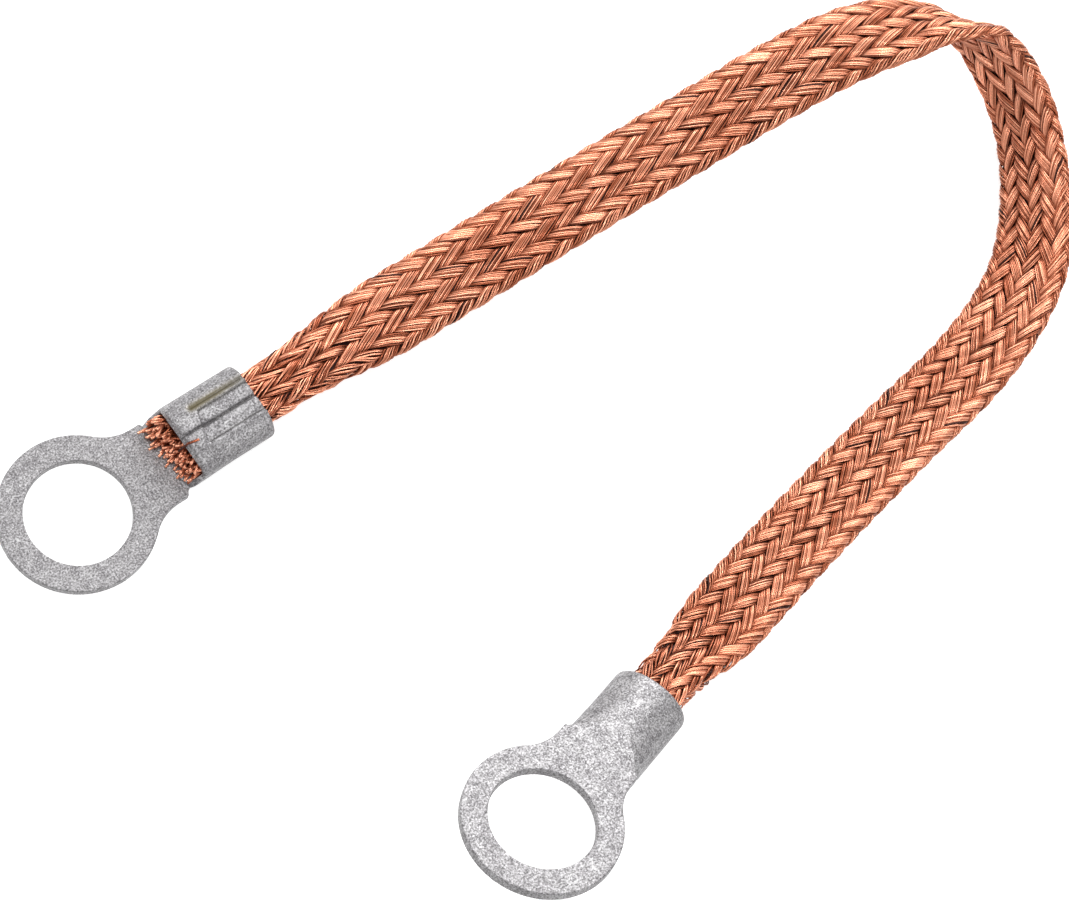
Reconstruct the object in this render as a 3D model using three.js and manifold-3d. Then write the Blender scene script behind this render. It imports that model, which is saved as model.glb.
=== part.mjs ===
// Flexible busbar braid: a flat tubular copper braid with a crimped ring terminal on each end.
// Units are millimetres and +Z is up. It lies as it comes to rest, on the plane z = 0.

import * as THREE from "three";
import { mergeVertices } from "three/addons/utils/BufferGeometryUtils.js";
import Module from "manifold-3d";

const wasm = await Module();
wasm.setup();

// Ring terminals. Each has its own frame: the eye's centre is the origin, X runs to the barrel, and
// the contact face lies on z = 0 with the barrel above it.
const EYE_DIAMETER = 10.5;
const RING_DIAMETER = 15.7;
const STOCK = 1.15;
const TONGUE_WIDTH = 8.6;
const SHOULDER_RADIUS = 5;
const EYE_TO_EAR = 9.9;
const EYE_TO_MOUTH = 11.2;
const BARREL_LENGTH = 8.85;
const BARREL_WIDTH = 8.1;
const BARREL_HEIGHT = 5.8;
const INDENT_WIDTH = 3.8;
const INDENT_LENGTH = 6.1;
const INDENT_DEPTH = 0.6;
const INDENT_STEP_LENGTH = 3.6;
const INDENT_STEP_DEPTH = 0.25;
const SEAM_WIDTH = 0.3;
const SEAM_DEPTH = 0.45;
const CUT_PAST = 1;
const CURVE_SIDES = 28;

// How the second terminal lies: turned over, rolled a little, with its ring tipped up. It stands on
// the lowest edge of its barrel.
const SECOND_EYE = [17.1, -49.7];
const SECOND_HEADING = 13;
const SECOND_TIP_UP = 15;
const SECOND_ROLL = -9.8;

// Braid: 24 bundles of fine wire woven into a tube and rolled flat, 2 over and 2 under.
const BRAID_WIDTH = 8.6;
const BRAID_THICKNESS = 1.8;
const COLUMNS = 12;
const FIRST_PITCH = 3.05;
const SECOND_PITCH = 2.4;
const PITCH_CHANGE = [0.42, 0.6];
const WEAVE_RELIEF = 0.42;
const NECK_CLEARANCE = 0.45;
const NECK_HOLD = 3;
const NECK_LENGTH = 16;
const WIRE_END_OVERHANG = 1.4;

// Route of the braid's middle between the barrels: x, y, z and its lean in degrees. At 0 the braid's
// first face is up, and at -180 it is down.
const ROUTE = [
  [28, 0.1, 2.9, 0],
  [38, 0, 3.3, 0],
  [50, -0.3, 4.3, 0],
  [62, -0.7, 5.6, 0],
  [74, -1.2, 7, 1],
  [84.3, -1.7, 8.2, 4],
  [92, -2.5, 9.2, 0],
  [97.8, -4, 9.9, -12],
  [103.6, -6.3, 9.6, -43],
  [106.9, -9.3, 7.9, -83],
  [108, -12.8, 6.1, -103],
  [107.5, -17.7, 4.7, -114],
  [105.5, -22.2, 4.1, -120],
  [102.2, -27.2, 3.5, -133],
  [98.2, -31.4, 2.75, -150],
  [92.6, -34.5, 2.2, -160],
  [85.5, -36.7, 1.2, -175],
  [76, -38.2, 1, -180],
  [66, -39.9, 1, -180],
  [56, -41.8, 1.05, -180],
  [46.5, -43.8, 1.5, -179],
];

const eyeToRear = EYE_TO_MOUTH + BARREL_LENGTH;

// Where the barrel grips the braid, it is pressed to a neck that passes through the bore.
const neckLevel = (BARREL_HEIGHT - INDENT_DEPTH) / 2;
const neckWidth = BARREL_WIDTH - 2 * STOCK - 2 * NECK_CLEARANCE;
const neckThickness = BARREL_HEIGHT - INDENT_DEPTH - 2 * STOCK - 2 * NECK_CLEARANCE;

const TINNED = new THREE.MeshStandardMaterial({ color: 0xb4b4b4, roughness: 0.55, metalness: 0.9 });
const COPPER = new THREE.MeshStandardMaterial({ color: 0xb8714e, roughness: 0.42, metalness: 1 });

function solid(geometry) {
  const bare = geometry.index ? geometry.toNonIndexed() : geometry.clone();
  bare.deleteAttribute("normal");
  bare.deleteAttribute("uv");
  const merged = mergeVertices(bare, 1e-4);
  return new wasm.Manifold(
    new wasm.Mesh({
      numProp: 3,
      vertProperties: new Float32Array(merged.attributes.position.array),
      triVerts: new Uint32Array(merged.index.array),
    }),
  );
}

function geometryOf(manifold) {
  const mesh = manifold.getMesh();
  const geometry = new THREE.BufferGeometry();
  geometry.setAttribute("position", new THREE.BufferAttribute(mesh.vertProperties, 3));
  geometry.setIndex(new THREE.BufferAttribute(mesh.triVerts, 1));
  const flat = geometry.toNonIndexed();
  flat.computeVertexNormals();
  return flat;
}

function box(low, high) {
  const size = high.map((value, axis) => value - low[axis]);
  const centre = high.map((value, axis) => (value + low[axis]) / 2);
  return solid(new THREE.BoxGeometry(...size).translate(...centre));
}

// The blank: a ring, concave shoulders, and a tongue that ends in two ears beside the barrel.
function blank() {
  const ring = RING_DIAMETER / 2;
  const half = TONGUE_WIDTH / 2;
  const reach = ring + SHOULDER_RADIUS;
  const shoulderX = Math.sqrt(reach ** 2 - (half + SHOULDER_RADIUS) ** 2);
  const leave = Math.atan2(half + SHOULDER_RADIUS, shoulderX);
  const neck = BARREL_WIDTH / 2 - STOCK;
  const outline = new THREE.Shape();
  outline.absarc(0, 0, ring, leave, 2 * Math.PI - leave, false);
  outline.absarc(shoulderX, -half - SHOULDER_RADIUS, SHOULDER_RADIUS, Math.PI - leave, Math.PI / 2, true);
  outline.lineTo(EYE_TO_EAR, -half);
  outline.lineTo(EYE_TO_EAR, -neck);
  outline.lineTo(EYE_TO_MOUTH + 2 * STOCK, -neck / 4);
  outline.lineTo(EYE_TO_MOUTH + 2 * STOCK, neck / 4);
  outline.lineTo(EYE_TO_EAR, neck);
  outline.lineTo(EYE_TO_EAR, half);
  outline.absarc(shoulderX, half + SHOULDER_RADIUS, SHOULDER_RADIUS, -Math.PI / 2, leave - Math.PI, true);
  const eye = new THREE.Path();
  eye.absarc(0, 0, EYE_DIAMETER / 2, 0, 2 * Math.PI, true);
  outline.holes.push(eye);
  return solid(
    new THREE.ExtrudeGeometry(outline, {
      depth: STOCK,
      bevelEnabled: false,
      curveSegments: CURVE_SIDES,
    }),
  );
}

// An oval rod along X, from one end to the other, inside the barrel's outline by an inset.
function ovalRod(start, end, inset) {
  const oval = new THREE.Shape();
  const across = BARREL_WIDTH / 2 - inset;
  const up = BARREL_HEIGHT / 2 - inset;
  oval.absellipse(0, 0, across, up, 0, 2 * Math.PI, false, 0);
  const rod = new THREE.ExtrudeGeometry(oval, {
    depth: end - start,
    bevelEnabled: false,
    curveSegments: CURVE_SIDES / 2,
  });
  rod.rotateX(Math.PI / 2);
  rod.rotateZ(Math.PI / 2);
  return solid(rod.translate(start, 0, BARREL_HEIGHT / 2));
}

// The rolled barrel: its front slopes back from the ears to the mouth's top edge.
function barrel() {
  const slope = new THREE.Shape();
  slope.moveTo(EYE_TO_EAR - BARREL_HEIGHT, -STOCK);
  slope.lineTo(EYE_TO_EAR, -STOCK);
  slope.lineTo(EYE_TO_EAR, STOCK);
  slope.lineTo(EYE_TO_MOUTH, BARREL_HEIGHT + STOCK);
  slope.lineTo(EYE_TO_EAR - BARREL_HEIGHT, BARREL_HEIGHT + STOCK);
  const front = new THREE.ExtrudeGeometry(slope, { depth: 2 * BARREL_WIDTH, bevelEnabled: false });
  front.rotateX(Math.PI / 2);
  front.translate(0, BARREL_WIDTH, 0);
  const outside = ovalRod(EYE_TO_EAR, eyeToRear, 0);
  return outside.subtract(solid(front));
}

// The crimp: a die mark with one step, open at the rear, pressed in over the butt seam.
function terminal() {
  const half = INDENT_WIDTH / 2;
  const top = BARREL_HEIGHT;
  const markStart = eyeToRear - INDENT_LENGTH;
  const stepStart = eyeToRear - INDENT_STEP_LENGTH;
  const past = eyeToRear + CUT_PAST;
  const bore = ovalRod(EYE_TO_EAR - CUT_PAST, past, STOCK);
  const pressedLow = [markStart - STOCK / 2, -half, top - INDENT_DEPTH - STOCK];
  const pressed = box(pressedLow, [eyeToRear, half, top - STOCK / 2]);
  const markFloor = top - INDENT_DEPTH;
  const stepFloor = markFloor - INDENT_STEP_DEPTH;
  const mark = box([markStart, -half, markFloor], [past, half, top + CUT_PAST]);
  const step = box([stepStart, -half, stepFloor], [past, half, top + CUT_PAST]);
  const seamHalf = SEAM_WIDTH / 2;
  const seam = box([EYE_TO_EAR, -seamHalf, stepFloor - SEAM_DEPTH], [past, seamHalf, top + CUT_PAST]);
  const shell = barrel().subtract(bore).add(pressed);
  return shell.subtract(mark).subtract(step).subtract(seam).add(blank());
}

// The one shape of both terminals.
const terminalShape = geometryOf(terminal());

// A terminal's own frame in the part's frame.
function firstTerminalPlace() {
  return new THREE.Matrix4();
}

function secondTerminalPlace() {
  const [heading, tipUp, roll] = [SECOND_HEADING, SECOND_TIP_UP, SECOND_ROLL].map(THREE.MathUtils.degToRad);
  const turned = new THREE.Matrix4().makeRotationZ(heading);
  turned.multiply(new THREE.Matrix4().makeRotationY(tipUp));
  turned.multiply(new THREE.Matrix4().makeRotationX(Math.PI + roll));
  const lowest = new THREE.Box3().setFromBufferAttribute(
    terminalShape.clone().applyMatrix4(turned).attributes.position,
  ).min.z;
  return new THREE.Matrix4().makeTranslation(...SECOND_EYE, -lowest).multiply(turned);
}

// The middle of the braid inside a terminal, from its cut wire ends to the barrel's rear.
function middleInTerminal(place) {
  const wireEnds = EYE_TO_MOUTH - WIRE_END_OVERHANG;
  const stations = [wireEnds, EYE_TO_MOUTH + BARREL_LENGTH / 2, eyeToRear];
  return stations.map((x) => new THREE.Vector3(x, 0, neckLevel).applyMatrix4(place));
}

// The whole route as one smooth curve, with its lean as a second curve on the same knots.
function braidRoute() {
  const first = middleInTerminal(firstTerminalPlace());
  const second = middleInTerminal(secondTerminalPlace()).reverse();
  const middle = ROUTE.map(([x, y, z]) => new THREE.Vector3(x, y, z));
  const lastLean = -180 - SECOND_ROLL;
  const leans = [...first.map(() => 0), ...ROUTE.map((point) => point[3]), ...second.map(() => lastLean)];
  const curve = new THREE.CatmullRomCurve3([...first, ...middle, ...second], false, "centripetal");
  curve.arcLengthDivisions = 2000;
  return { curve, leans };
}

function leanAt(leans, knot) {
  const last = leans.length - 1;
  const left = Math.min(Math.floor(knot * last), last - 1);
  const linear = knot * last - left;
  const eased = THREE.MathUtils.smoothstep(linear, 0, 1);
  const blend = (eased + 2 * linear) / 3;
  return THREE.MathUtils.degToRad(THREE.MathUtils.lerp(leans[left], leans[left + 1], blend));
}

// The section's frame at a distance along the route: middle, width direction and face direction.
function sectionAt(route, distance, length) {
  const share = THREE.MathUtils.clamp(distance / length, 0, 1);
  const knot = route.curve.getUtoTmapping(share);
  const lean = leanAt(route.leans, knot);
  const along = route.curve.getTangent(knot);
  const level = new THREE.Vector3(0, 0, 1).cross(along).normalize();
  const above = along.clone().cross(level);
  const across = level.clone().multiplyScalar(Math.cos(lean)).addScaledVector(above, Math.sin(lean));
  const face = level.clone().multiplyScalar(-Math.sin(lean)).addScaledVector(above, Math.cos(lean));
  return { middle: route.curve.getPoint(knot), across, face };
}

// A point on the braid's skin. Its section is flat with round edges, and turn is 0 at one edge.
function skinPoint(route, distance, length, turn, weave) {
  const covered = eyeToRear - EYE_TO_MOUTH + WIRE_END_OVERHANG;
  const free = Math.min(distance, length - distance) - covered;
  const open = THREE.MathUtils.smoothstep(free, NECK_HOLD, NECK_LENGTH);
  const width = THREE.MathUtils.lerp(neckWidth, BRAID_WIDTH, open);
  const thickness = THREE.MathUtils.lerp(neckThickness, BRAID_THICKNESS, open);
  const straight = width - thickness;
  const round = (Math.PI * thickness) / 2;
  const walked = (((turn % 1) + 1) % 1) * 2 * (straight + round);
  const side = walked < straight + round ? 1 : -1;
  const onSide = side > 0 ? walked : walked - straight - round;
  const edgeAngle = THREE.MathUtils.clamp((onSide - straight) / (thickness / 2), 0, Math.PI);
  const depth = -WEAVE_RELIEF * weave * THREE.MathUtils.smoothstep(free, 1, NECK_LENGTH / 2);
  const radius = thickness / 2 + depth;
  const flat = Math.min(onSide, straight) - straight / 2;
  const x = -side * flat - side * radius * Math.sin(edgeAngle);
  const y = side * radius * Math.cos(edgeAngle);
  const { middle, across, face } = sectionAt(route, distance, length);
  return middle.addScaledVector(across, x).addScaledVector(face, y);
}

// Distances of the picks: half a pitch apart, with the pitch changing along the braid.
function pickDistances(start, end) {
  const picks = [start];
  while (picks[picks.length - 1] < end) {
    const at = picks[picks.length - 1];
    const change = THREE.MathUtils.smoothstep(at / end, ...PITCH_CHANGE);
    picks.push(at + THREE.MathUtils.lerp(FIRST_PITCH, SECOND_PITCH, change) / 2);
  }
  const stretch = (end - start) / (picks[picks.length - 1] - start);
  return picks.map((at) => start + (at - start) * stretch);
}

// The woven skin. Its rows run zigzag round the tube, up one column of bundles and down the next, so
// each column shows slanting ridges, and its neighbours slant the other way.
function braid() {
  const route = braidRoute();
  const length = route.curve.getLength();
  const covered = eyeToRear - EYE_TO_MOUTH + WIRE_END_OVERHANG;
  const picks = pickDistances(covered, length - covered);
  const rows = [0, ...picks, length];
  const around = 2 * COLUMNS;
  const positions = [];
  rows.forEach((distance, row) => {
    const pitch = 2 * (rows[Math.min(row + 1, rows.length - 2)] - rows[Math.min(row, rows.length - 3)]);
    const free = Math.min(distance, length - distance) - covered;
    const slant = THREE.MathUtils.smoothstep(free, 0, NECK_LENGTH) * Math.min(pitch, FIRST_PITCH);
    for (let step = 0; step < around; step++) {
      const column = Math.floor(step / 2);
      const inside = step % 2;
      const zigzag = inside ? 0 : column % 2 ? 0.5 : -0.5;
      const weave = (row % 2 ? 0 : 0.75) + (inside ? 0 : 0.25);
      const at = distance + slant * zigzag;
      positions.push(...skinPoint(route, at, length, step / around, weave).toArray());
    }
  });
  const index = [];
  for (let row = 0; row + 1 < rows.length; row++) {
    for (let step = 0; step < around; step++) {
      const next = (step + 1) % around;
      const [a, b] = [row * around + step, row * around + next];
      const [c, d] = [a + around, b + around];
      index.push(a, b, c, b, d, c);
    }
  }
  for (const [row, turn] of [[0, 1], [rows.length - 1, -1]]) {
    const rim = row * around;
    for (let step = 1; step + 1 < around; step++) {
      const [a, b] = turn > 0 ? [step + 1, step] : [step, step + 1];
      index.push(rim, rim + a, rim + b);
    }
  }
  const geometry = new THREE.BufferGeometry();
  geometry.setAttribute("position", new THREE.Float32BufferAttribute(positions, 3));
  geometry.setIndex(index);
  const flat = geometry.toNonIndexed();
  flat.computeVertexNormals();
  return flat;
}

function place(mesh, matrix) {
  matrix.decompose(mesh.position, mesh.quaternion, mesh.scale);
  return mesh;
}

function named(name, geometry, material) {
  const mesh = new THREE.Mesh(geometry, material);
  mesh.name = name;
  return mesh;
}

const strap = new THREE.Group();
strap.add(place(named("ring_terminal_1", terminalShape, TINNED), firstTerminalPlace()));
strap.add(place(named("ring_terminal_2", terminalShape, TINNED), secondTerminalPlace()));
strap.add(named("braid", braid(), COPPER));

// The part's origin is the middle of its footprint.
const footprint = new THREE.Box3().setFromObject(strap, true);
const middle = footprint.getCenter(new THREE.Vector3());
strap.position.set(-middle.x, -middle.y, -footprint.min.z);

const group = new THREE.Group();
group.add(strap);

export default group;
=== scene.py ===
"""Looks of a flexible busbar braid: 24 bundles of fine copper wire woven into a flat tube, with a
tinned ring terminal crimped on each end. Lengths are in millimetres until a mesh is made."""

import math

import bpy
import numpy as np
from mathutils import Matrix, Vector


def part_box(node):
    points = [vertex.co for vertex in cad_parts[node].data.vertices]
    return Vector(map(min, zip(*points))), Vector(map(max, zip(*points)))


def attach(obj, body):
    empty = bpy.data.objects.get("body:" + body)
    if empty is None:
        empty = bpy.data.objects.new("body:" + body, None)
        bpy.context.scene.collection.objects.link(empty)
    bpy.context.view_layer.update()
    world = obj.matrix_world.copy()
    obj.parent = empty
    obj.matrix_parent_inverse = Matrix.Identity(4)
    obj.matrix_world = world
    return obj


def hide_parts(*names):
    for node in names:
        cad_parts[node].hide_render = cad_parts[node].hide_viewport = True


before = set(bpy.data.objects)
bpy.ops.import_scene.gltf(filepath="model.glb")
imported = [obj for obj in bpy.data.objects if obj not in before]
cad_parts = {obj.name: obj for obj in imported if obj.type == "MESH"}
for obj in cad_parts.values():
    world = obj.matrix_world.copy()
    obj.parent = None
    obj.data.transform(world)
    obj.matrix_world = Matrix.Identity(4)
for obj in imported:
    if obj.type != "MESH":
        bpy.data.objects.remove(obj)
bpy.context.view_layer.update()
scene = bpy.context.scene
rng = np.random.default_rng(20)

MM = 0.001

# Ring terminal. In its own frame the eye's centre is the origin, X runs to the barrel, and the
# contact face lies on z = 0.
EYE_DIAMETER = 10.5
RING_DIAMETER = 15.7
STOCK = 1.15
TONGUE_WIDTH = 8.6
SHOULDER_RADIUS = 5.0
EYE_TO_EAR = 9.9
EYE_TO_MOUTH = 11.2
BARREL_LENGTH = 8.85
BARREL_WIDTH = 8.1
BARREL_HEIGHT = 5.8
MARK_DEPTH = 0.6
WALL = 0.95
MOUTH_WALL = 0.95
# Barrel's section: the powers of the oval at its bottom in front, at its top and rear, and of its bore.
SQUARE_POWER = 3.6
ROUND_POWER = 2.1
BORE_POWER = 2.9
# Between which sines of the angle round the barrel its section turns round, and its roof's rim rounds off.
TOP_BLEND = (-0.3, 0.2)
ROOF_BLEND = (-0.25, 0.25)
# Flanges: how far the barrel's lower front reaches ahead of its roof, and how much further on one side.
# They are thinner than the wall, and square until they round off between two places along the barrel.
ROOF_SETBACK = 0.5
FLANGE_REACH = 1.85
SIDE_REACH = 1.1
SIDE_SPAN = (1.0, 3.4)
FLANGE_HEIGHT = 3.4
FLANGE_CURVE = 1.1
FLANGE_WALL = 0.5
FLANGE_THICKENING = (0.5, 3.0)
FLANGE_ROUNDING = (EYE_TO_EAR + 0.5, EYE_TO_EAR + 6.5)
# Barrel's rims: how much they round off, over which length, and how much of that the front one skips.
RIM_ROUND = 0.28
RIM_LENGTH = 0.45
RIM_START = 0.25
# Bore: how far its roof slants at the mouth, and how far it drops behind it, under the crimp.
ROOF_SLANT = 0.4
BORE_DROP = MARK_DEPTH + 0.4
BORE_DROP_SPAN = (12.0, 14.0)
BARREL_SIDES = 300
BARREL_RINGS = 150
# Grooves on the crimped side: across position, depth, half width, and where each one starts.
GROOVES = [
    (-0.12, 0.46, 0.13, 11.0),
    (1.97, 0.3, 0.27, 13.4),
    (1.38, 0.30, 0.15, 14.0),
    (-1.78, 0.32, 0.15, 13.2),
]
STAINED_GROOVE = 1
MARK_SIDES = (-1.75, 1.35)
MARK_START = 13.65
MARK_SLANT = 0.28
MARK_FLOOR = 0.36
MARK_VEE = 0.24
MARK_VEE_REACH = 1.6
MARK_SIDE_WALL = 0.12
MARK_FRONT_WALL = 0.35
# The crimp takes hold between these heights over the barrel's middle.
MARK_TOP = (0.6, 1.4)
GROOVE_RAMP = 0.5
# Painted shade along each groove: its half width, its ramp in, and the height above which it is painted.
CREASE_WIDTH = 0.1
CREASE_RAMP = 0.4
CREASE_LEVEL = 0.7 * BARREL_HEIGHT
# Stain in a groove: its width in half grooves, its start from the groove's own, and how it fades away.
STAIN_WIDTH = 1.5
STAIN_START = (-0.3, 0.6)
STAIN_FADE = 0.6
STAIN_FADE_FROM = 17
# Blank: the ears' cut corner, how much it narrows to the mouth, and its tail under the barrel.
EAR_CORNER = (0.15, 0.35)
EAR_TAPER = 1.2
TAIL_HALF_WIDTH = 1
RING_STEPS = 180
SHOULDER_STEPS = 24
EYE_STEPS = 160
# Skin of the whole terminal.
VOXEL = 0.08
SOFTENING = 0.5
SOFTENING_ROUNDS = 4
SHARE_OF_FACES_KEPT = 0.4
# Places: the barrel's rear and the braid's middle in it, and the second terminal's eye in the route's
# frame with its turns in degrees.
EYE_TO_REAR = EYE_TO_MOUTH + BARREL_LENGTH
NECK_LEVEL = (BARREL_HEIGHT - MARK_DEPTH) / 2
SECOND_EYE = (17.1, -49.7, 10.688)
SECOND_HEADING = 13.0
SECOND_TIP_UP = 15.0
SECOND_ROLL = -9.8

# Braid. Its bundles pass 2 over and 2 under, and its skin is the middle of the woven layer.
BUNDLES_EACH_WAY = 12
WIRES = 7
WIRE_DIAMETER = 0.17
WIRE_SIDES = 5
EDGE_SWELL = 0.45
STEP = 0.5
SKIN_WIDTH = 7.75
SKIN_THICKNESS = 0.9
FACE_CROWN = 0.12
NECK_WIDTH = 4.7
NECK_THICKNESS = 2.0
# Necks: the distances behind the first and behind the second barrel between which the braid opens.
NECKS = [(3.0, 17.5), (2.0, 13.0)]
FIRST_PITCH = 3.05
SECOND_PITCH = 2.4
PITCH_CHANGE = (0.42, 0.6)
PITCH_SAMPLES = 1000
WEAVE_HEIGHT = 0.25
NECK_SWELL = 0.5
EDGE_FLATTENING = 0.35
EDGE_SHARPNESS = 6
BUNDLE_CROWN = 0.12
# How much of its place a bundle fills: midway, the change as it passes over or under, and on the edge.
FILL = 0.82
FILL_CHANGE = 0.15
EDGE_FILL = 1.04
# Looseness, as the samples for each value, the size on the flat braid, and what the necks add. Wires
# wander and bundles drift sideways, by half bundle spacings, and wires lift, by millimetres.
WANDER = (5, 0.07, 0.28)
DRIFT = (9, 0.06, 0.25)
LIFT = (6, 0.02, 0.14)
# Tones, from 0 for the darkest copper to 1: the wires' own, and painted shade where a bundle dips under.
WIRE_TONE = 0.76
WIRE_TONE_SPREAD = 0.24
# Painted shade on the outer wires of each bundle; where a bundle dips under, its middle wires keep more
# light.
BUNDLE_SIDE_SHADE = 0.45
UNDER_TONE = 0.03
MIDDLE_LIGHT = 0.4
SHADED_WEAVE = (-0.8, 1.0)
# A dark sheet of painted shade inside the tube: how deep under the skin it lies, and its sides round the
# tube.
INSIDE_DEPTH = 0.2
INSIDE_SIDES = 32

# Brush of cut wire ends in a barrel's mouth, in the terminal's frame.
WIRE_END_OVERHANG = 1.4
BRUSH_DEPTH = 1.6
BRUSH_ROWS = 12
BRUSH_WIDTH = 6.5
BRUSH_LOW = 1.36
BRUSH_HEIGHT = 2.8
BRUSH_ROOT = 3.2
BRUSH_SIDE = 3.35
BRUSH_FLOOR = STOCK + 0.13
# The arch under the roof that the ends keep below: its half width and its rise.
BRUSH_ARCH = (3.1, 1.7)
# The brush's front: x at y = 0 and a level, its slant across and upwards, and how far back ends may be.
BRUSH_FRONT = 9.3
BRUSH_FRONT_LEVEL = 1.3
BRUSH_SLANT = -0.16
BRUSH_RAKE = 0.45
BRUSH_RECESS = 1.5
RECESS_SKEW = 1.5
END_DIAMETER = 0.25
END_SIDES = 6
END_SAMPLES = 11
END_JITTER = (0.1, 0.9)
END_YAW = (0.1, 1.5)
END_YAW_SHARE = 0.9
END_PITCH = (-0.7, 1.0)
END_PITCH_SHARE = 0.8
END_BEND = (0.35, 1.1)
END_BEND_POWER = 1.2
# Tones of the ends: their own at random, with painted shade on ends set further back and towards each end's
# root in the barrel.
END_TONE = 0.95
END_TONE_SPREAD = 0.2
RECESS_SHADE = 0.4
SHADED_ROOT_TONE = 0.02
TIP_TONE_POWER = 2.5
# One stray end over the first terminal's rim, as three points in the terminal's frame.
STRAY_END = [(10.7, -0.75, 4.4), (11.5, -0.95, 5.9), (12.6, -1.2, 6.02)]

# Route of the braid's middle between the barrels: x, y, z and its lean in degrees.
ROUTE = [
    (28, 0.1, 2.9, 0),
    (38, 0, 3.3, 0),
    (50, -0.3, 4.3, 0),
    (62, -0.7, 5.6, 0),
    (74, -1.2, 7, 1),
    (84.3, -1.7, 8.2, 4),
    (92, -2.5, 9.2, 0),
    (97.8, -4, 9.9, -12),
    (103.6, -6.3, 9.6, -43),
    (106.9, -9.3, 7.9, -83),
    (108, -12.8, 6.1, -103),
    (107.5, -17.7, 4.7, -114),
    (105.5, -22.2, 4.1, -120),
    (102.2, -27.2, 3.5, -133),
    (98.2, -31.4, 2.75, -150),
    (92.6, -34.5, 2.2, -160),
    (85.5, -36.7, 1.2, -175),
    (76, -38.2, 1, -180),
    (66, -39.9, 1, -180),
    (56, -41.8, 1.05, -180),
    (46.5, -43.8, 1.5, -179),
]

# How far to each side of a place the route's direction there is taken.
TANGENT_REACH = 0.3

# Camera, in the route's frame.
CAMERA_AIM = (41.857, -18.895, 0)
CAMERA_AZIMUTH = math.radians(201.22)
CAMERA_ELEVATION = math.radians(68.0)
CAMERA_ROLL = math.radians(34.1)
CAMERA_DISTANCE = 300.0
VIEW_WIDTH = 106.9
SENSOR_WIDTH = 36.0
CLIP_START = 10 * MM

# Stage, with lengths in metres. A lamp is its name, its direction on the camera's picture (right, up and
# towards), its size and its watts, and it aims at a point of the route's frame in millimetres.
FLOOR_HALF = 3.0
FLOOR_DROP = 0.02 * MM
FLOOR_SHADE = 0.62
FLOOR_GLOW = 0.8
WORLD_LIGHT = 0.32
LAMP_AIM = (60, -18, 3)
LAMP_DISTANCE = 0.5
LAMPS = [
    ("top", (0.3, 0.9, 0.25), 0.3, 2.3),
    ("front", (0.15, 0.25, 0.95), 0.12, 0.95),
    ("right", (0.75, -0.45, 0.5), 0.12, 0.5),
    ("left", (-0.9, 0.4, 0.35), 0.12, 0.9),
]


def first_eye():
    """The first terminal's eye on the floor, which is the route frame's origin in the part's frame."""
    low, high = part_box("ring_terminal_1")
    return Vector((low.x / MM + RING_DIAMETER / 2, (low.y + high.y) / 2 / MM, 0))


ROUTE_TO_PART = Matrix.Translation(first_eye())


def first_place():
    return ROUTE_TO_PART.copy()


def second_place():
    place = ROUTE_TO_PART @ Matrix.Translation(SECOND_EYE)
    for degrees, axis in ((SECOND_HEADING, "Z"), (SECOND_TIP_UP, "Y"), (180 + SECOND_ROLL, "X")):
        place = place @ Matrix.Rotation(math.radians(degrees), 4, axis)
    return place


def smoothstep(values, low, high):
    share = np.clip((values - low) / (high - low), 0, 1)
    return share * share * (3 - 2 * share)


# Camera
def add_camera():
    azimuth, elevation, roll = CAMERA_AZIMUTH, CAMERA_ELEVATION, CAMERA_ROLL
    level = math.cos(elevation)
    back = Vector((level * math.cos(azimuth), level * math.sin(azimuth), math.sin(elevation)))
    level_right = Vector((-math.sin(azimuth), math.cos(azimuth), 0))
    level_up = back.cross(level_right)
    right = level_right * math.cos(roll) + level_up * math.sin(roll)
    up = level_up * math.cos(roll) - level_right * math.sin(roll)
    data = bpy.data.cameras.new("camera")
    data.sensor_width = SENSOR_WIDTH
    data.lens = SENSOR_WIDTH * CAMERA_DISTANCE / VIEW_WIDTH
    data.clip_start = CLIP_START
    camera = bpy.data.objects.new("camera", data)
    scene.collection.objects.link(camera)
    where = (ROUTE_TO_PART @ Vector(CAMERA_AIM) + back * CAMERA_DISTANCE) * MM
    turn = Matrix((right, up, back)).transposed().to_4x4()
    camera.matrix_world = Matrix.Translation(where) @ turn
    scene.camera = camera


# Route
def middle_in_terminal(place):
    stations = [EYE_TO_MOUTH - WIRE_END_OVERHANG, EYE_TO_MOUTH + BARREL_LENGTH / 2, EYE_TO_REAR]
    return [place @ Vector((x, 0, NECK_LEVEL)) for x in stations]


def smooth_line(knots, per_span=80):
    """A centripetal Catmull-Rom curve through the knots, and each sample's knot number."""
    ends = [2 * knots[0] - knots[1]], [2 * knots[-1] - knots[-2]]
    padded = np.concatenate([ends[0], knots, ends[1]])
    spans = np.linalg.norm(np.diff(padded, axis=0), axis=1) ** 0.5
    share = np.linspace(0, 1, per_span, endpoint=False)[:, None]
    points, numbers = [], []
    for i in range(1, len(padded) - 2):
        a, b, c, d = padded[i - 1 : i + 3]
        before, here, after = spans[i - 1 : i + 2]
        leave = ((b - a) / before - (c - a) / (before + here) + (c - b) / here) * here
        arrive = ((c - b) / here - (d - b) / (here + after) + (d - c) / after) * here
        square = -3 * b + 3 * c - 2 * leave - arrive
        cube = 2 * b - 2 * c + leave + arrive
        points.append(b + leave * share + square * share**2 + cube * share**3)
        numbers.append(i - 1 + share[:, 0])
    return np.concatenate([*points, knots[-1:]]), np.concatenate([*numbers, [len(knots) - 1]])


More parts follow.
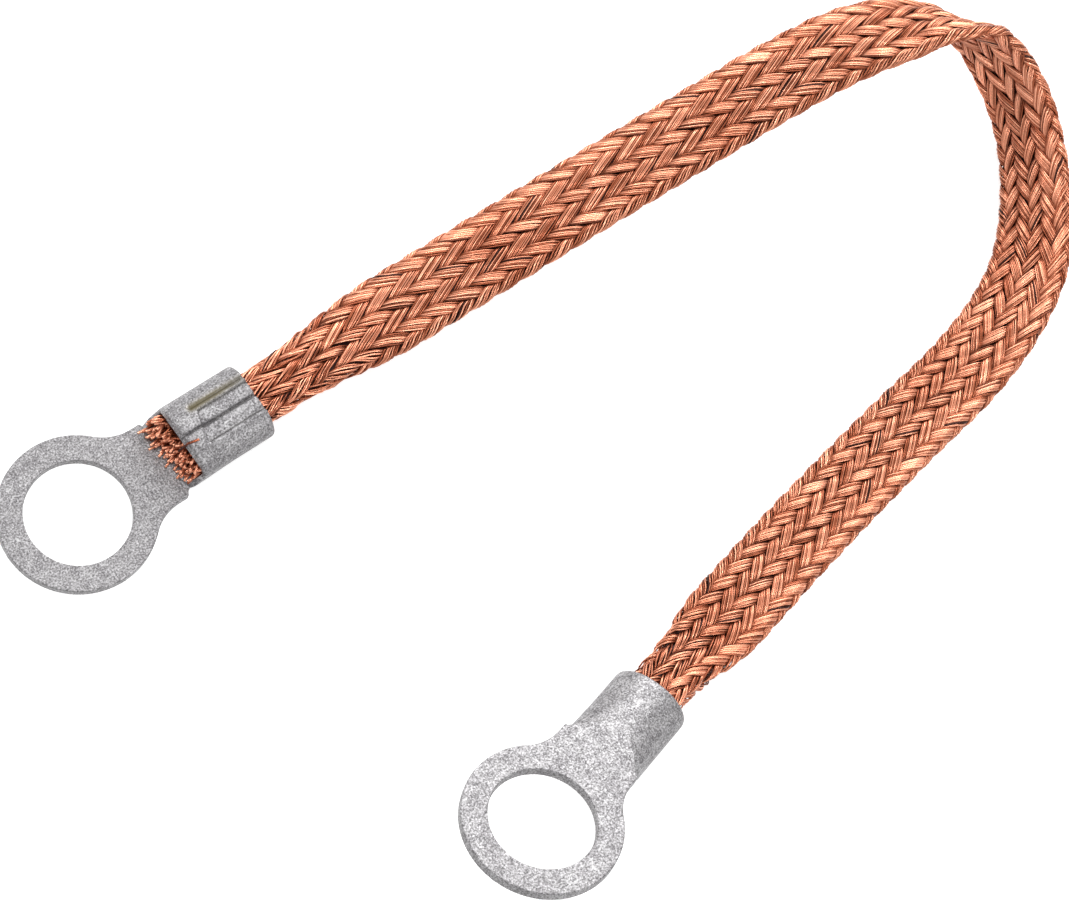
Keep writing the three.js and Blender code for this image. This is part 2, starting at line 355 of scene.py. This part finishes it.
class Route:
    """The braid's middle with its section frames, by the distance along it."""

    def __init__(self):
        first = middle_in_terminal(first_place())
        second = middle_in_terminal(second_place())[::-1]
        middle = [ROUTE_TO_PART @ Vector(point[:3]) for point in ROUTE]
        leans = [0] * len(first) + [point[3] for point in ROUTE] + [-180 - SECOND_ROLL] * len(second)
        self.points, numbers = smooth_line(np.array([*first, *middle, *second]))
        left = np.minimum(numbers.astype(int), len(leans) - 2)
        share = numbers - left
        blend = (smoothstep(share, 0, 1) + 2 * share) / 3
        leans = np.radians(leans)
        self.leans = leans[left] + (leans[left + 1] - leans[left]) * blend
        steps = np.linalg.norm(np.diff(self.points, axis=0), axis=1)
        self.marks = np.concatenate([[0], np.cumsum(steps)])
        self.length = self.marks[-1]
        self.covered = EYE_TO_REAR - EYE_TO_MOUTH + WIRE_END_OVERHANG

    def at(self, distance, columns):
        return np.stack([np.interp(distance, self.marks, column) for column in columns], -1)

    def middle(self, distance):
        return self.at(distance, self.points.T)

    def frames(self, distance):
        """The width direction and the face direction at each distance."""
        along = self.middle(distance + TANGENT_REACH) - self.middle(distance - TANGENT_REACH)
        along /= np.linalg.norm(along, axis=-1, keepdims=True)
        level = np.cross((0, 0, 1), along)
        level /= np.linalg.norm(level, axis=-1, keepdims=True)
        above = np.cross(along, level)
        lean = self.at(distance, [self.leans])
        across = level * np.cos(lean) + above * np.sin(lean)
        face = above * np.cos(lean) - level * np.sin(lean)
        return across, face

    def openness(self, distance):
        """0 in the barrels and 1 where the braid has its full width."""
        first = smoothstep(distance - self.covered, *NECKS[0])
        second = smoothstep(self.length - distance - self.covered, *NECKS[1])
        return np.minimum(first, second)


def skin_points(route, distance, turn, height):
    """Points over the braid's skin, and the skin's normals there. turn is 0 at one edge."""
    open_share = route.openness(distance)
    width = NECK_WIDTH + (SKIN_WIDTH - NECK_WIDTH) * open_share
    thickness = NECK_THICKNESS + (SKIN_THICKNESS - NECK_THICKNESS) * open_share
    straight = width - thickness
    bend = math.pi * thickness / 2
    walked = (turn % 1) * 2 * (straight + bend)
    side = np.where(walked < straight + bend, 1, -1)
    on_side = np.where(side > 0, walked, walked - straight - bend)
    angle = np.clip((on_side - straight) / (thickness / 2), 0, math.pi)
    flat = np.minimum(on_side, straight) - straight / 2
    normal_x = -side * np.sin(angle)
    normal_y = side * np.cos(angle)
    x = -side * flat + normal_x * (thickness / 2 + height)
    crown = FACE_CROWN * open_share * (1 - np.clip(2 * x / width, -1, 1) ** 2)
    y = normal_y * (thickness / 2 + height) + side * crown * np.abs(np.cos(angle))
    across, face = route.frames(distance)
    points = route.middle(distance) + across * x[..., None] + face * y[..., None]
    normals = across * normal_x[..., None] + face * normal_y[..., None]
    return points, normals


def levels_at(route, distance):
    """How many half pitches lie before each distance."""
    marks = np.linspace(0, route.length, PITCH_SAMPLES)
    change = smoothstep(marks / route.length, *PITCH_CHANGE)
    pitch = FIRST_PITCH + (SECOND_PITCH - FIRST_PITCH) * change
    steps = np.diff(marks) * 2 / ((pitch[1:] + pitch[:-1]) / 2)
    return np.interp(distance, marks, np.concatenate([[0], np.cumsum(steps)]))


def slow_noise(shape, count, every):
    """Smooth noise between -1 and 1 along the last axis, with a new value after each few samples."""
    knots = int(count / every) + 4
    values = rng.uniform(-1, 1, (*shape, knots))
    at = np.arange(count) / every
    left = at.astype(int)
    share = smoothstep(at - left, 0, 1)
    return values[..., left] * (1 - share) + values[..., left + 1] * share


def looseness(shape, loose, kind):
    """Slow noise that grows from the flat braid to the necks, where loose is 1."""
    every, flat, added = kind
    return slow_noise(shape, len(loose), every) * (flat + added * loose)


# Meshes
def finished_object(name, mesh, material):
    mesh.materials.append(material)
    piece = bpy.data.objects.new(name, mesh)
    scene.collection.objects.link(piece)
    return piece


def tubes(name, paths, normals, radius, sides, material, tones):
    """One mesh of closed round tubes, one for each path, with a tone for each sample of each path."""
    count, length, _ = paths.shape
    along = np.gradient(paths, axis=1)
    along /= np.linalg.norm(along, axis=-1, keepdims=True)
    beside = np.cross(along, normals)
    beside /= np.linalg.norm(beside, axis=-1, keepdims=True)
    above = np.cross(beside, along)
    angles = np.linspace(0, 2 * math.pi, sides, endpoint=False)
    rings = beside[:, :, None] * np.cos(angles)[:, None] + above[:, :, None] * np.sin(angles)[:, None]
    radii = np.broadcast_to(radius, (count, length))[:, :, None, None]
    vertices = (paths[:, :, None] + rings * radii).reshape(-1, 3)
    index = np.arange(count * length * sides).reshape(count, length, sides)
    ahead = np.roll(index, -1, axis=2)
    walls = np.stack([index[:, :-1], ahead[:, :-1], ahead[:, 1:], index[:, 1:]], -1).reshape(-1, 4)
    caps = [index[:, 0, ::-1].reshape(-1, sides), index[:, -1].reshape(-1, sides)]
    loops = np.concatenate([walls.ravel(), caps[0].ravel(), caps[1].ravel()])
    sizes = np.concatenate([np.full(len(walls), 4), np.full(2 * count, sides)])
    mesh = bpy.data.meshes.new(name)
    mesh.vertices.add(len(vertices))
    mesh.vertices.foreach_set("co", (vertices * MM).astype(np.float32).ravel())
    mesh.loops.add(len(loops))
    mesh.loops.foreach_set("vertex_index", loops.astype(np.int32))
    mesh.polygons.add(len(sizes))
    mesh.polygons.foreach_set("loop_start", np.concatenate([[0], np.cumsum(sizes)[:-1]]).astype(np.int32))
    mesh.update(calc_edges=True)
    mesh.shade_smooth()
    tone_and_shade = mesh.attributes.new("tone_and_shade", "FLOAT", "POINT")
    tone_and_shade.data.foreach_set("value", np.repeat(tones.ravel(), sides).astype(np.float32))
    return finished_object(name, mesh, material)


# Materials
def new_material(name):
    material = bpy.data.materials.new(name)
    material.use_nodes = True
    nodes = material.node_tree.nodes
    return material, nodes, material.node_tree.links, nodes["Principled BSDF"]


def add_node(nodes, kind, **values):
    node = nodes.new(kind)
    for key, value in values.items():
        if key in node.inputs:
            node.inputs[key].default_value = value
        else:
            setattr(node, key, value)
    return node


def set_inputs(node, values):
    for name, value in values.items():
        node.inputs[name].default_value = value


def attribute(nodes, name):
    return add_node(nodes, "ShaderNodeAttribute", attribute_name=name).outputs["Fac"]


def noise(nodes, links, coordinate, size, detail):
    """A noise texture whose features are about size millimetres across."""
    texture = add_node(nodes, "ShaderNodeTexNoise", Scale=1 / (size * MM), Detail=detail)
    links.new(coordinate, texture.inputs["Vector"])
    return texture.outputs["Fac"]


def ramp(nodes, links, value, stops):
    """A colour ramp from (position, colour) pairs, where one number in brackets is a grey."""
    made = add_node(nodes, "ShaderNodeValToRGB")
    elements = made.color_ramp.elements
    for number, (position, colour) in enumerate(stops):
        element = elements[number] if number < 2 else elements.new(position)
        element.position = position
        element.color = (*colour, 1) if len(colour) == 3 else (*colour * 3, 1)
    links.new(value, made.inputs["Fac"])
    return made.outputs["Color"]


def mixed(nodes, links, share, first, second, blend="MIX"):
    """A mix of two colours, each a colour or another node's output."""
    mix = add_node(nodes, "ShaderNodeMix", data_type="RGBA", blend_type=blend)
    for socket, value in (("Factor", share), ("A", first), ("B", second)):
        target = next(s for s in mix.inputs if s.name == socket and s.enabled)
        if isinstance(value, bpy.types.NodeSocket):
            links.new(value, target)
        else:
            target.default_value = value
    return next(s for s in mix.outputs if s.enabled)


def multiplied(nodes, links, first, second):
    return mixed(nodes, links, 1.0, first, second, "MULTIPLY")


def copper():
    """Bright wire whose colour follows its tone, its own colour and painted shade together, with large
    duller patches.
    """
    material, nodes, links, shader = new_material("bare_copper_wire")
    set_inputs(shader, {"Metallic": 0.6, "Specular IOR Level": 0.4})
    where = add_node(nodes, "ShaderNodeTexCoord").outputs["Object"]
    patches = noise(nodes, links, where, size=9, detail=4)
    grain = noise(nodes, links, where, size=0.5, detail=2)
    stops = [(0, (0.025, 0.003, 0.001)), (0.45, (0.34, 0.09, 0.037)), (1, (1.0, 0.47, 0.30))]
    wire = ramp(nodes, links, attribute(nodes, "tone_and_shade"), stops)
    tint = ramp(nodes, links, patches, [(0.35, (0.84, 0.74, 0.68)), (0.62, (1, 1, 1))])
    roughness = ramp(nodes, links, grain, [(0.3, (0.22,)), (0.7, (0.36,))])
    links.new(multiplied(nodes, links, wire, tint), shader.inputs["Base Color"])
    links.new(roughness, shader.inputs["Roughness"])
    return material


def tin():
    """Matt tin: grains, soft clouds, flecks, hairline scratches, the stain and painted shade along the
    creases.
    """
    material, nodes, links, shader = new_material("tinned_copper")
    set_inputs(shader, {"Metallic": 0.35})
    where = add_node(nodes, "ShaderNodeTexCoord").outputs["Object"]
    grains = noise(nodes, links, where, size=0.19, detail=2)
    clouds = noise(nodes, links, where, size=1.1, detail=4)
    flecks = noise(nodes, links, where, size=0.16, detail=1)
    lines = noise(nodes, links, where, size=4.2, detail=2)
    worn = noise(nodes, links, where, size=6.5, detail=1)

    stops = [(0.32, (0.105, 0.1, 0.103)), (0.5, (0.26, 0.253, 0.257)), (0.68, (0.45, 0.44, 0.45))]
    base = ramp(nodes, links, grains, stops)
    tint = ramp(nodes, links, clouds, [(0.36, (0.66, 0.65, 0.66)), (0.62, (1.0, 1.0, 1.0))])
    colour = multiplied(nodes, links, base, tint)
    bright = ramp(nodes, links, flecks, [(0.58, (0.0,)), (0.70, (0.5,))])
    colour = mixed(nodes, links, bright, colour, (0.70, 0.69, 0.71, 1))

    hairs = ramp(nodes, links, lines, [(0.493, (0.0,)), (0.5, (1.0,)), (0.507, (0.0,))])
    where_worn = ramp(nodes, links, worn, [(0.51, (0.0,)), (0.63, (0.42,))])
    hairs = multiplied(nodes, links, hairs, where_worn)
    colour = mixed(nodes, links, hairs, colour, (0.8, 0.8, 0.8, 1))
    colour = mixed(nodes, links, attribute(nodes, "stain"), colour, (0.15, 0.125, 0.06, 1))
    # Painted shade darkens the tin along the creases.
    shade = ramp(nodes, links, attribute(nodes, "crease_shade"), [(0, (1, 1, 1)), (1, (0.34, 0.33, 0.32))])
    links.new(multiplied(nodes, links, colour, shade), shader.inputs["Base Color"])

    roughness = ramp(nodes, links, grains, [(0.3, (0.55,)), (0.7, (0.42,))])
    links.new(roughness, shader.inputs["Roughness"])
    bump = add_node(nodes, "ShaderNodeBump", Strength=0.25, Distance=0.03 * MM)
    links.new(grains, bump.inputs["Height"])
    links.new(bump.outputs["Normal"], shader.inputs["Normal"])
    return material


COPPER = copper()
TIN = tin()


# Woven braid
def wire_distances(route):
    """The samples along the braid between the brushes of cut ends."""
    start = WIRE_END_OVERHANG + BRUSH_DEPTH
    count = int(round((route.length - 2 * start) / STEP)) + 1
    return np.linspace(start, route.length - start, count)


def near_edge(turn):
    """1 on the braid's two edges and 0 on most of its faces."""
    return np.cos(2 * math.pi * turn) ** EDGE_SHARPNESS


def woven_wires(route, way):
    """Paths, skin normals, radii and tones of the wires that wind one way round the tube: 1 or -1.

    A place round the tube counts in half bundle spacings. The arrays run over bundles, wires and samples.
    """
    distance = wire_distances(route)
    columns = 2 * BUNDLES_EACH_WAY
    bundle = 2 * np.arange(BUNDLES_EACH_WAY)[:, None, None] + way * levels_at(route, distance)
    spread = (np.arange(WIRES) - (WIRES - 1) / 2) / (WIRES / 2)
    middle_share = 1 - spread[:, None] ** 2
    shape = (BUNDLES_EACH_WAY, WIRES)
    loose = 1 - route.openness(distance)
    wander = looseness(shape, loose, WANDER)
    drift = looseness((BUNDLES_EACH_WAY, 1), loose, DRIFT)
    loosened = wander + drift

    # The sine of the crossing is flattened, so that a bundle lies level on the two that it passes over.
    crossing = np.sin(math.pi / 2 * (bundle + (spread[:, None] + loosened) / 2 + 0.5))
    weave = way * crossing * (1.5 - 0.5 * crossing**2)
    at_edge = near_edge(bundle / columns)
    fill = (FILL + FILL_CHANGE * weave) * (1 - at_edge) + EDGE_FILL * at_edge
    beside = spread[:, None] * fill + loosened
    turn = (bundle + beside) / columns

    crown = BUNDLE_CROWN * middle_share * (0.5 + 0.5 * weave)
    lift = looseness(shape, loose, LIFT)
    swing = WEAVE_HEIGHT * (1 + NECK_SWELL * loose) * (1 - EDGE_FLATTENING * near_edge(turn))
    points, normals = skin_points(route, distance, turn, swing * weave + crown + lift)
    radii = WIRE_DIAMETER / 2 * (1 + EDGE_SWELL * near_edge(turn))

    # Painted shade: each bundle's outer wires are darker, and wires are darker where their bundle dips
    # under.
    sides = 1 - BUNDLE_SIDE_SHADE * np.abs(spread) ** 3
    tones = np.clip(rng.normal(WIRE_TONE, WIRE_TONE_SPREAD, shape) * sides, 0, 1)[..., None]
    lit = smoothstep(weave + MIDDLE_LIGHT * middle_share, *SHADED_WEAVE)
    return points, normals, radii, tones * (UNDER_TONE + (1 - UNDER_TONE) * lit)


def add_braid(route):
    """Four meshes of wires: the bundles of each way round the tube, in two halves."""
    pieces = []
    half = BUNDLES_EACH_WAY // 2
    for way, side in ((1, "left"), (-1, "right")):
        wires = woven_wires(route, way)
        for part in (0, 1):
            which = slice(part * half, (part + 1) * half)
            name = f"{side}_hand_bundles_{part + 1}"
            points, normals, radii, tones = (
                values[which].reshape(half * WIRES, *values.shape[2:]) for values in wires
            )
            pieces.append(tubes(name, points, normals, radii, WIRE_SIDES, COPPER, tones))
    return pieces


def add_inside_shade(route):
    """A dark sheet of painted shade inside the woven tube, which shows in the gaps between the wires."""
    distance = wire_distances(route)
    turn = np.linspace(0, 1, INSIDE_SIDES, endpoint=False)[:, None]
    points, _ = skin_points(route, distance, turn, -INSIDE_DEPTH)
    index = np.arange(points.shape[0] * points.shape[1]).reshape(points.shape[:2])
    ahead = np.roll(index, -1, axis=0)
    walls = np.stack([index[:, :-1], index[:, 1:], ahead[:, 1:], ahead[:, :-1]], -1).reshape(-1, 4)
    caps = [index[:, 0].tolist(), index[::-1, -1].tolist()]
    mesh = bpy.data.meshes.new("braid_inside_shade")
    mesh.from_pydata((points.reshape(-1, 3) * MM).tolist(), [], walls.tolist() + caps)
    mesh.shade_smooth()
    # It has no tone, so it takes the copper's darkest colour.
    return finished_object("braid_inside_shade", mesh, COPPER)


# Cut wire ends in front of a barrel
def add_wire_ends(name, place, stray):
    """The brush of cut ends in a barrel's mouth, with one stray end over the rim if asked for."""
    ends = 2 * BUNDLES_EACH_WAY * WIRES
    across = ends // BRUSH_ROWS
    row, column = np.divmod(np.arange(ends), across)
    y = ((column + rng.uniform(*END_JITTER, ends)) / across - 0.5) * BRUSH_WIDTH
    z = BRUSH_LOW + (row + rng.uniform(*END_JITTER, ends)) / BRUSH_ROWS * BRUSH_HEIGHT
    half_arch, rise = BRUSH_ARCH
    z = np.minimum(z, BARREL_HEIGHT / 2 + rise * np.sqrt(np.clip(1 - (y / half_arch) ** 2, 0, 1)))
    start_x = EYE_TO_MOUTH + BRUSH_ROOT
    recess = rng.uniform(0, 1, ends) ** RECESS_SKEW
    front_x = BRUSH_FRONT + BRUSH_SLANT * y + BRUSH_RAKE * (z - BRUSH_FRONT_LEVEL)
    end_x = front_x + BRUSH_RECESS * recess
    yaw = np.where((column + row) % 2, 1, -1) * rng.uniform(*END_YAW, ends) * END_YAW_SHARE
    pitch = rng.uniform(*END_PITCH, ends) * END_PITCH_SHARE

    samples = np.linspace(0, 1, END_SAMPLES)
    bend = smoothstep(samples, *END_BEND) ** END_BEND_POWER
    paths = np.empty((ends, len(samples), 3))
    paths[..., 0] = start_x - (start_x - end_x)[:, None] * samples
    paths[..., 1] = np.clip(y[:, None] + yaw[:, None] * bend, -BRUSH_SIDE, BRUSH_SIDE)
    paths[..., 2] = np.maximum(z[:, None] + pitch[:, None] * bend, BRUSH_FLOOR)
    if stray:
        paths[-1] = np.stack([np.interp(samples, (0, 0.5, 1), knots) for knots in zip(*STRAY_END)], -1)
    turned = place.to_3x3()
    paths = paths @ np.array(turned).T + np.array(place.translation)
    normals = np.broadcast_to(np.array(turned @ Vector((0, 0, 1))), paths.shape)

    # Painted shade: ends set further back are darker, and each end darkens towards its root inside the
    # barrel.
    tones = np.clip(rng.normal(END_TONE, END_TONE_SPREAD, ends) - RECESS_SHADE * recess, 0, 1)
    tones = tones[:, None] * (SHADED_ROOT_TONE + (1 - SHADED_ROOT_TONE) * samples**TIP_TONE_POWER)
    return tubes(name, paths, normals, END_DIAMETER / 2, END_SIDES, COPPER, tones)


# Ring terminal
def plate_outline():
    """The blank's outline and its eye, as two lists of points."""
    ring = RING_DIAMETER / 2
    half = TONGUE_WIDTH / 2
    reach = ring + SHOULDER_RADIUS
    shoulder_x = math.sqrt(reach**2 - (half + SHOULDER_RADIUS) ** 2)
    leave = math.atan2(half + SHOULDER_RADIUS, shoulder_x)

    def arc(x, y, radius, start, end, steps):
        angles = np.linspace(start, end, steps)
        return np.stack([x + radius * np.cos(angles), y + radius * np.sin(angles)], -1)

    round_ring = arc(0, 0, ring, leave, 2 * math.pi - leave, RING_STEPS)
    start, end = math.pi - leave, math.pi / 2
    low = arc(shoulder_x, -half - SHOULDER_RADIUS, SHOULDER_RADIUS, start, end, SHOULDER_STEPS)
    corner_x, corner_y = EAR_CORNER
    ear = [
        (EYE_TO_EAR, half),
        (EYE_TO_EAR + corner_x, half - corner_y),
        (EYE_TO_MOUTH, half - EAR_TAPER),
        (EYE_TO_MOUTH + 2 * STOCK, TAIL_HALF_WIDTH),
    ]
    ears = np.array([(x, -y) for x, y in ear] + ear[::-1])
    outline = np.concatenate([round_ring, low[1:], ears, (low * (1, -1))[::-1][:-1]])
    eye = arc(0, 0, EYE_DIAMETER / 2, 0, 2 * math.pi, EYE_STEPS + 1)[:-1]
    return outline, eye


def plate_mesh():
    """The flat blank, extruded from its outline."""
    curve = bpy.data.curves.new("plate", "CURVE")
    curve.dimensions = "2D"
    curve.fill_mode = "BOTH"
    curve.extrude = STOCK / 2
    for points in plate_outline():
        spline = curve.splines.new("POLY")
        spline.points.add(len(points) - 1)
        flat = np.concatenate([points, np.zeros((len(points), 1)), np.ones((len(points), 1))], 1)
        spline.points.foreach_set("co", flat.ravel())
        spline.use_cyclic_u = True
    holder = bpy.data.objects.new("plate", curve)
    mesh = bpy.data.meshes.new_from_object(holder)
    mesh.transform(Matrix.Translation((0, 0, STOCK / 2)))
    bpy.data.objects.remove(holder)
    return mesh


def oval(angle, half_width, half_height, power):
    """A superellipse: an ellipse at power 2, and squarer above it."""
    cosine, sine = np.cos(angle), np.sin(angle)
    y = half_width * np.sign(cosine) * np.abs(cosine) ** (2 / power)
    return y, half_height * np.sign(sine) * np.abs(sine) ** (2 / power)


def bell(y, middle, half_width):
    return np.exp(-(((y - middle) / half_width) ** 2))


def pressed_in(x, y):
    """How far the crimp has pressed the top of the barrel in."""
    low, high = MARK_SIDES
    start = MARK_START + MARK_SLANT * y
    inside = smoothstep(y, low, low + MARK_SIDE_WALL) * (1 - smoothstep(y, high - MARK_SIDE_WALL, high))
    inside = inside * smoothstep(x, start, start + MARK_FRONT_WALL)
    vee = np.clip(1 - np.abs(y - GROOVES[0][0]) / MARK_VEE_REACH, 0, 1)
    depth = (MARK_FLOOR + MARK_VEE * vee) * inside
    for across, deep, wide, begins in GROOVES:
        depth = depth + deep * bell(y, across, wide) * smoothstep(x, begins, begins + GROOVE_RAMP)
    return depth


def barrel_skins():
    """The barrel's outer and inner skin, as points along it and round it."""
    angle = np.linspace(0, 2 * math.pi, BARREL_SIDES, endpoint=False)[None, :]
    share = np.linspace(0, 1, BARREL_RINGS)[:, None]
    half_width = BARREL_WIDTH / 2
    half_height = BARREL_HEIGHT / 2
    square = oval(angle, half_width, half_height, SQUARE_POWER)
    rounder = oval(angle, half_width, half_height, ROUND_POWER)

    # The lower front reaches ahead of the roof, further on the side of larger y.
    low = np.clip(1 - (square[1] + half_height) / FLANGE_HEIGHT, 0, 1) ** FLANGE_CURVE
    reach = (FLANGE_REACH + SIDE_REACH * smoothstep(square[0], *SIDE_SPAN)) * low
    front = EYE_TO_MOUTH + ROOF_SETBACK - reach
    x = front + (EYE_TO_REAR - front) * share
    upper = smoothstep(np.sin(angle), *TOP_BLEND)
    rounding = upper + (1 - upper) * smoothstep(x, *FLANGE_ROUNDING)
    y, rise = (a * (1 - rounding) + b * rounding for a, b in zip(square, rounder))

    edge = np.clip(np.minimum(EYE_TO_REAR - x, x - front + RIM_START) / RIM_LENGTH, 0, 1)
    rounded = RIM_ROUND * (1 - np.sqrt(np.clip(1 - (1 - edge) ** 2, 0, 1)))
    y = y * (1 - rounded / half_width)
    lowered = 1 - rounded / half_height * smoothstep(np.sin(angle), *ROOF_BLEND)
    z = half_height + rise * lowered - smoothstep(rise, *MARK_TOP) * pressed_in(x, y)

    wall = FLANGE_WALL + (WALL - FLANGE_WALL) * smoothstep(x - front, *FLANGE_THICKENING)
    inner_y, inner_rise = oval(angle, half_width - wall, 1.0, BORE_POWER)
    roof = BARREL_HEIGHT - MOUTH_WALL - BORE_DROP * smoothstep(x, *BORE_DROP_SPAN)
    inner_reach = np.where(inner_rise > 0, roof - half_height, half_height - STOCK)
    slant = ROOF_SLANT * np.clip(inner_rise, 0, 1) * (1 - share)
    outer = np.stack([x, y, z], -1)
    return outer, np.stack([x - slant, inner_y, half_height + inner_rise * inner_reach], -1)


def barrel_mesh():
    """The rolled barrel as one wall, open at both ends, with its crimp."""
    outer, inner = barrel_skins()
    vertices = np.concatenate([outer.reshape(-1, 3), inner.reshape(-1, 3)])
    other = outer.shape[0] * outer.shape[1]
    index = np.arange(other).reshape(outer.shape[:2])
    ahead = np.roll(index, -1, 1)
    walls = np.stack([index[:-1], ahead[:-1], ahead[1:], index[1:]], -1).reshape(-1, 4)
    front_rim = np.stack([index[0], index[0] + other, ahead[0] + other, ahead[0]], -1)
    rear_rim = np.stack([index[-1], ahead[-1], ahead[-1] + other, index[-1] + other], -1)
    faces = np.concatenate([walls[:, ::-1], walls + other, front_rim[:, ::-1], rear_rim[:, ::-1]])
    mesh = bpy.data.meshes.new("barrel")
    mesh.from_pydata(vertices.tolist(), [], faces.tolist())
    return mesh


def terminal_shape():
    """One terminal in its own frame: blank and barrel joined into one skin with soft edges."""
    holder = bpy.data.objects.new("terminal", joined([plate_mesh(), barrel_mesh()]))
    scene.collection.objects.link(holder)
    remesh = holder.modifiers.new("one_skin", "REMESH")
    remesh.mode = "VOXEL"
    remesh.voxel_size = VOXEL
    soften = holder.modifiers.new("soften", "SMOOTH")
    soften.factor = SOFTENING
    soften.iterations = SOFTENING_ROUNDS
    thin = holder.modifiers.new("thin", "DECIMATE")
    thin.ratio = SHARE_OF_FACES_KEPT
    graph = bpy.context.evaluated_depsgraph_get()
    mesh = bpy.data.meshes.new_from_object(holder.evaluated_get(graph))
    bpy.data.objects.remove(holder)
    mark_grooves(mesh)
    return mesh


def mark_grooves(mesh):
    """Write where the stain is and where shade is painted along the creases, for the tin."""
    points = np.empty(len(mesh.vertices) * 3, np.float32)
    mesh.vertices.foreach_get("co", points)
    x, y, z = points.reshape(-1, 3).T
    across, _, wide, begins = GROOVES[STAINED_GROOVE]
    stain_from, stain_full = STAIN_START
    stain = bell(y, across, STAIN_WIDTH * wide) * smoothstep(x, begins + stain_from, begins + stain_full)
    stain *= (z > BARREL_HEIGHT / 2) * (1 - STAIN_FADE * smoothstep(x, STAIN_FADE_FROM, EYE_TO_REAR))
    # Painted shade along every groove, on the barrel's top only.
    crease_shade = np.zeros_like(x)
    for across, _, _, begins in GROOVES:
        line = bell(y, across, CREASE_WIDTH) * smoothstep(x, begins, begins + CREASE_RAMP)
        crease_shade = np.maximum(crease_shade, line)
    crease_shade *= z > CREASE_LEVEL
    for name, values in (("stain", stain), ("crease_shade", crease_shade)):
        made = mesh.attributes.new(name, "FLOAT", "POINT")
        made.data.foreach_set("value", values.astype(np.float32))


def joined(meshes):
    """The meshes as one mesh, each with its own vertices."""
    vertices, faces = [], []
    for mesh in meshes:
        first = len(vertices)
        vertices += [vertex.co[:] for vertex in mesh.vertices]
        faces += [[first + index for index in face.vertices] for face in mesh.polygons]
    whole = bpy.data.meshes.new("joined")
    whole.from_pydata(vertices, [], faces)
    return whole


def add_terminal(name, shape, place):
    mesh = shape.copy()
    mesh.name = name
    mesh.transform(place)
    mesh.transform(Matrix.Scale(MM, 4))
    mesh.shade_smooth()
    return finished_object(name, mesh, TIN)


# Stage
def white_for_sight(nodes, links):
    """1 for rays from the camera and for mirrored or passed rays, else 0."""
    path = add_node(nodes, "ShaderNodeLightPath")
    seen = path.outputs["Is Camera Ray"]
    for output in ("Is Glossy Ray", "Is Transmission Ray"):
        largest = add_node(nodes, "ShaderNodeMath", operation="MAXIMUM")
        links.new(seen, largest.inputs[0])
        links.new(path.outputs[output], largest.inputs[1])
        seen = largest.outputs[0]
    return seen


def add_floor():
    """A floor that takes the part's shade and looks white to the camera."""
    corners = [(-1, -1), (1, -1), (1, 1), (-1, 1)]
    mesh = bpy.data.meshes.new("floor")
    mesh.from_pydata([(x * FLOOR_HALF, y * FLOOR_HALF, -FLOOR_DROP) for x, y in corners], [], [(0, 1, 2, 3)])
    material, nodes, links, shader = new_material("pale_floor")
    shade = (FLOOR_SHADE, FLOOR_SHADE, FLOOR_SHADE, 1)
    set_inputs(shader, {"Base Color": shade, "Roughness": 1, "Specular IOR Level": 0})
    set_inputs(shader, {"Emission Color": (1, 1, 1, 1)})
    glow = add_node(nodes, "ShaderNodeMath", operation="MULTIPLY")
    glow.inputs[1].default_value = FLOOR_GLOW
    links.new(white_for_sight(nodes, links), glow.inputs[0])
    links.new(glow.outputs[0], shader.inputs["Emission Strength"])
    floor = finished_object("floor", mesh, material)


def add_world():
    """White to the camera and in mirrored rays, and dimmer as a light."""
    world = bpy.data.worlds.new("studio")
    world.use_nodes = True
    scene.world = world
    nodes, links = world.node_tree.nodes, world.node_tree.links
    background = nodes["Background"]
    set_inputs(background, {"Color": (1, 1, 1, 1)})
    strength = add_node(nodes, "ShaderNodeMapRange")
    set_inputs(strength, {"To Min": WORLD_LIGHT, "To Max": 1.0})
    links.new(white_for_sight(nodes, links), strength.inputs["Value"])
    links.new(strength.outputs["Result"], background.inputs["Strength"])


def add_lamp(name, direction, size, power):
    """A square lamp, placed by its direction on the camera's picture: right, up and towards."""
    camera = scene.camera.matrix_world
    aim = ROUTE_TO_PART @ Vector(LAMP_AIM) * MM
    towards = (camera.to_3x3() @ Vector(direction)).normalized()
    data = bpy.data.lights.new(name, "AREA")
    data.size = size
    data.energy = power
    lamp = bpy.data.objects.new(name, data)
    lamp.location = aim + towards * LAMP_DISTANCE
    lamp.rotation_euler = towards.to_track_quat("Z", "Y").to_euler()
    scene.collection.objects.link(lamp)


def main():
    add_camera()
    route = Route()
    bundles = [*add_braid(route), add_inside_shade(route)]
    terminals = []
    shape = terminal_shape()
    for number, place in ((1, first_place()), (2, second_place())):
        ends = add_wire_ends(f"wire_ends_{number}", place, number == 1)
        bundles.append(ends)
        terminal = add_terminal(f"ring_terminal_{number}_skin", shape, place)
        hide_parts(f"ring_terminal_{number}")
        terminals.append(terminal)
    for piece in bundles:
        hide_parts("braid")
    for piece in bundles + terminals:
        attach(piece, "root")
    add_floor()
    add_world()
    for lamp in LAMPS:
        add_lamp(*lamp)
    scene.view_settings.view_transform = "Standard"


main()
